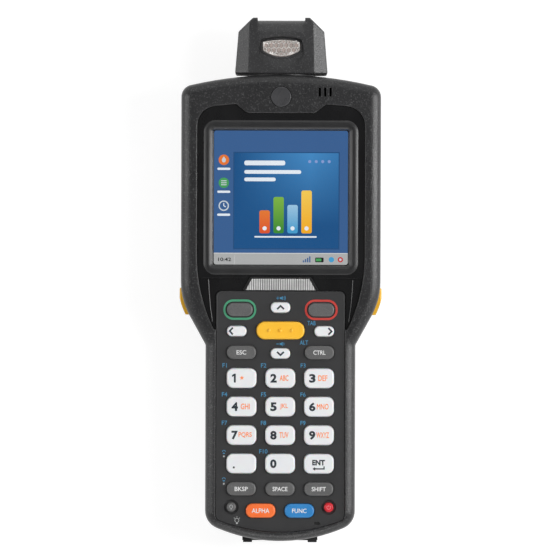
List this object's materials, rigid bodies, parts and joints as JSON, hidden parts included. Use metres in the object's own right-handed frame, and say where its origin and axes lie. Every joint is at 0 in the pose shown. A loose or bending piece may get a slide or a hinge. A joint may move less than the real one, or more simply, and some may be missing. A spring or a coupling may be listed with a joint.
{
  "type": "portable barcode data terminal",
  "caption": "Hand-held data terminal with a touch display over a keypad, a turning scan head at the top, side scan triggers and a hinged battery door.",
  "frame": {"origin": "middle of the box that holds the terminal, on the flat back face that it lies on", "axes": "+X across the keypad to the right, +Y along the body towards the scan head, +Z out of the display"},
  "size_m": [0.081, 0.2106, 0.0391],
  "materials": {
    "housing_plastic": "fine moulded texture, charcoal",
    "surround_plastic": "smooth near-black satin",
    "plate_plastic": "smooth charcoal satin",
    "emblem_plastic": "smooth dark grey",
    "key_white": "satin white",
    "key_grey": "satin grey",
    "key_yellow": "satin amber yellow",
    "key_orange": "satin orange",
    "key_blue": "satin blue",
    "key_red": "satin red",
    "touch_glass": "clear touch glass",
    "display_face": "lit display",
    "tray_aluminium": "bare",
    "light_bar_plastic": "ribbed translucent grey",
    "mat_rubber": "silicone",
    "seal_rubber": "black rubber",
    "board_green": "solder mask",
    "can_steel": "tin plate",
    "screw_steel": "black zinc",
    "pin_steel": "ground",
    "speaker_black": "black",
    "switch_plastic": "grey",
    "dock_plastic": "black",
    "contact_brass": "gold plated",
    "battery_plastic": "dark grey",
    "lock_plastic": "mid grey",
    "scan_glass": "dark red filter",
    "engine_aluminium": "black anodised",
    "lens_plastic": "translucent, honeycomb face"
  },
  "bodies": {
    "housing": {"front_housing": "housing_plastic", "rear_housing": "housing_plastic", "housing_gasket": "seal_rubber", "housing_screws": "screw_steel", "display_surround": "surround_plastic", "touch_window": "touch_glass", "display_panel": "display_face", "display_tray": "tray_aluminium", "indicator_light_bar": "light_bar_plastic", "emblem_disc": "emblem_plastic", "keypad_plate": "plate_plastic", "keypad_mat": "mat_rubber", "keypad_board": "board_green", "main_board": "board_green", "shield_cans": "can_steel", "loudspeaker": "speaker_black", "trigger_switches": "switch_plastic", "dock_connector": "dock_plastic", "battery_contacts": "contact_brass", "door_hinge_pin": "pin_steel"},
    "scan_head": {"head_front_shell": "housing_plastic", "head_rear_shell": "housing_plastic", "scan_window": "scan_glass", "scan_engine": "engine_aluminium", "status_light_lens": "lens_plastic", "turret_spindle": "dock_plastic", "neck_seal": "seal_rubber"},
    "battery_door": {"battery_door": "housing_plastic", "battery_pack": "battery_plastic"},
    "door_lock": {"door_lock": "lock_plastic"},
    "left_trigger": {"left_trigger": "key_yellow"},
    "right_trigger": {"right_trigger": "key_yellow"},
    "call_key": {"call_key": "key_grey"},
    "end_key": {"end_key": "key_grey"},
    "up_key": {"up_key": "key_white"},
    "left_key": {"left_key": "key_white"},
    "scan_key": {"scan_key": "key_yellow"},
    "right_key": {"right_key": "key_white"},
    "down_key": {"down_key": "key_white"},
    "esc_key": {"esc_key": "key_grey"},
    "ctrl_key": {"ctrl_key": "key_grey"},
    "digit_1_key": {"digit_1_key": "key_white"},
    "digit_2_key": {"digit_2_key": "key_white"},
    "digit_3_key": {"digit_3_key": "key_white"},
    "digit_4_key": {"digit_4_key": "key_white"},
    "digit_5_key": {"digit_5_key": "key_white"},
    "digit_6_key": {"digit_6_key": "key_white"},
    "digit_7_key": {"digit_7_key": "key_white"},
    "digit_8_key": {"digit_8_key": "key_white"},
    "digit_9_key": {"digit_9_key": "key_white"},
    "point_key": {"point_key": "key_white"},
    "digit_0_key": {"digit_0_key": "key_white"},
    "enter_key": {"enter_key": "key_white"},
    "bksp_key": {"bksp_key": "key_grey"},
    "space_key": {"space_key": "key_grey"},
    "shift_key": {"shift_key": "key_grey"},
    "alpha_key": {"alpha_key": "key_orange"},
    "func_key": {"func_key": "key_blue"},
    "backlight_key": {"backlight_key": "key_grey"},
    "power_key": {"power_key": "key_red"}
  },
  "joints": [
    {"name": "scan_head_turn", "type": "hinge", "parent": "housing", "child": "scan_head", "pos_m": [0, 0.0795, 0.02], "axis": [0, 1, 0], "range_deg": [-135, 135]},
    {"name": "battery_door_open", "type": "hinge", "parent": "housing", "child": "battery_door", "pos_m": [0, -0.0902, 0.0032], "axis": [-1, 0, 0], "range_deg": [0, 75]},
    {"name": "door_lock_slide", "type": "slide", "parent": "housing", "child": "door_lock", "axis": [0, -1, 0], "range_m": [0, 0.003]},
    {"name": "left_trigger_press", "type": "slide", "parent": "housing", "child": "left_trigger", "axis": [1, 0, 0], "range_m": [0, 0.001], "stiffness_N_per_m": 400, "springref_m": -0.0012},
    {"name": "right_trigger_press", "type": "slide", "parent": "housing", "child": "right_trigger", "axis": [-1, 0, 0], "range_m": [0, 0.001], "stiffness_N_per_m": 400, "springref_m": -0.0012},
    {"name": "call_key_press", "type": "slide", "parent": "housing", "child": "call_key", "axis": [0, 0, -1], "range_m": [0, 0.0008], "stiffness_N_per_m": 250, "springref_m": -0.0012},
    {"name": "end_key_press", "type": "slide", "parent": "housing", "child": "end_key", "axis": [0, 0, -1], "range_m": [0, 0.0008], "stiffness_N_per_m": 250, "springref_m": -0.0012},
    {"name": "up_key_press", "type": "slide", "parent": "housing", "child": "up_key", "axis": [0, 0, -1], "range_m": [0, 0.0008], "stiffness_N_per_m": 250, "springref_m": -0.0012},
    {"name": "left_key_press", "type": "slide", "parent": "housing", "child": "left_key", "axis": [0, 0, -1], "range_m": [0, 0.0008], "stiffness_N_per_m": 250, "springref_m": -0.0012},
    {"name": "scan_key_press", "type": "slide", "parent": "housing", "child": "scan_key", "axis": [0, 0, -1], "range_m": [0, 0.0008], "stiffness_N_per_m": 250, "springref_m": -0.0012, "deforming": ["keypad_mat"]},
    {"name": "right_key_press", "type": "slide", "parent": "housing", "child": "right_key", "axis": [0, 0, -1], "range_m": [0, 0.0008], "stiffness_N_per_m": 250, "springref_m": -0.0012},
    {"name": "down_key_press", "type": "slide", "parent": "housing", "child": "down_key", "axis": [0, 0, -1], "range_m": [0, 0.0008], "stiffness_N_per_m": 250, "springref_m": -0.0012},
    {"name": "esc_key_press", "type": "slide", "parent": "housing", "child": "esc_key", "axis": [0, 0, -1], "range_m": [0, 0.0008], "stiffness_N_per_m": 250, "springref_m": -0.0012},
    {"name": "ctrl_key_press", "type": "slide", "parent": "housing", "child": "ctrl_key", "axis": [0, 0, -1], "range_m": [0, 0.0008], "stiffness_N_per_m": 250, "springref_m": -0.0012},
    {"name": "digit_1_key_press", "type": "slide", "parent": "housing", "child": "digit_1_key", "axis": [0, 0, -1], "range_m": [0, 0.0008], "stiffness_N_per_m": 250, "springref_m": -0.0012},
    {"name": "digit_2_key_press", "type": "slide", "parent": "housing", "child": "digit_2_key", "axis": [0, 0, -1], "range_m": [0, 0.0008], "stiffness_N_per_m": 250, "springref_m": -0.0012},
    {"name": "digit_3_key_press", "type": "slide", "parent": "housing", "child": "digit_3_key", "axis": [0, 0, -1], "range_m": [0, 0.0008], "stiffness_N_per_m": 250, "springref_m": -0.0012},
    {"name": "digit_4_key_press", "type": "slide", "parent": "housing", "child": "digit_4_key", "axis": [0, 0, -1], "range_m": [0, 0.0008], "stiffness_N_per_m": 250, "springref_m": -0.0012},
    {"name": "digit_5_key_press", "type": "slide", "parent": "housing", "child": "digit_5_key", "axis": [0, 0, -1], "range_m": [0, 0.0008], "stiffness_N_per_m": 250, "springref_m": -0.0012},
    {"name": "digit_6_key_press", "type": "slide", "parent": "housing", "child": "digit_6_key", "axis": [0, 0, -1], "range_m": [0, 0.0008], "stiffness_N_per_m": 250, "springref_m": -0.0012},
    {"name": "digit_7_key_press", "type": "slide", "parent": "housing", "child": "digit_7_key", "axis": [0, 0, -1], "range_m": [0, 0.0008], "stiffness_N_per_m": 250, "springref_m": -0.0012},
    {"name": "digit_8_key_press", "type": "slide", "parent": "housing", "child": "digit_8_key", "axis": [0, 0, -1], "range_m": [0, 0.0008], "stiffness_N_per_m": 250, "springref_m": -0.0012},
    {"name": "digit_9_key_press", "type": "slide", "parent": "housing", "child": "digit_9_key", "axis": [0, 0, -1], "range_m": [0, 0.0008], "stiffness_N_per_m": 250, "springref_m": -0.0012},
    {"name": "point_key_press", "type": "slide", "parent": "housing", "child": "point_key", "axis": [0, 0, -1], "range_m": [0, 0.0008], "stiffness_N_per_m": 250, "springref_m": -0.0012},
    {"name": "digit_0_key_press", "type": "slide", "parent": "housing", "child": "digit_0_key", "axis": [0, 0, -1], "range_m": [0, 0.0008], "stiffness_N_per_m": 250, "springref_m": -0.0012},
    {"name": "enter_key_press", "type": "slide", "parent": "housing", "child": "enter_key", "axis": [0, 0, -1], "range_m": [0, 0.0008], "stiffness_N_per_m": 250, "springref_m": -0.0012},
    {"name": "bksp_key_press", "type": "slide", "parent": "housing", "child": "bksp_key", "axis": [0, 0, -1], "range_m": [0, 0.0008], "stiffness_N_per_m": 250, "springref_m": -0.0012},
    {"name": "space_key_press", "type": "slide", "parent": "housing", "child": "space_key", "axis": [0, 0, -1], "range_m": [0, 0.0008], "stiffness_N_per_m": 250, "springref_m": -0.0012},
    {"name": "shift_key_press", "type": "slide", "parent": "housing", "child": "shift_key", "axis": [0, 0, -1], "range_m": [0, 0.0008], "stiffness_N_per_m": 250, "springref_m": -0.0012},
    {"name": "alpha_key_press", "type": "slide", "parent": "housing", "child": "alpha_key", "axis": [0, 0, -1], "range_m": [0, 0.0008], "stiffness_N_per_m": 250, "springref_m": -0.0012},
    {"name": "func_key_press", "type": "slide", "parent": "housing", "child": "func_key", "axis": [0, 0, -1], "range_m": [0, 0.0008], "stiffness_N_per_m": 250, "springref_m": -0.0012},
    {"name": "backlight_key_press", "type": "slide", "parent": "housing", "child": "backlight_key", "axis": [0, 0, -1], "range_m": [0, 0.0008], "stiffness_N_per_m": 250, "springref_m": -0.0012},
    {"name": "power_key_press", "type": "slide", "parent": "housing", "child": "power_key", "axis": [0, 0, -1], "range_m": [0, 0.0008], "stiffness_N_per_m": 250, "springref_m": -0.0012}
  ]
}
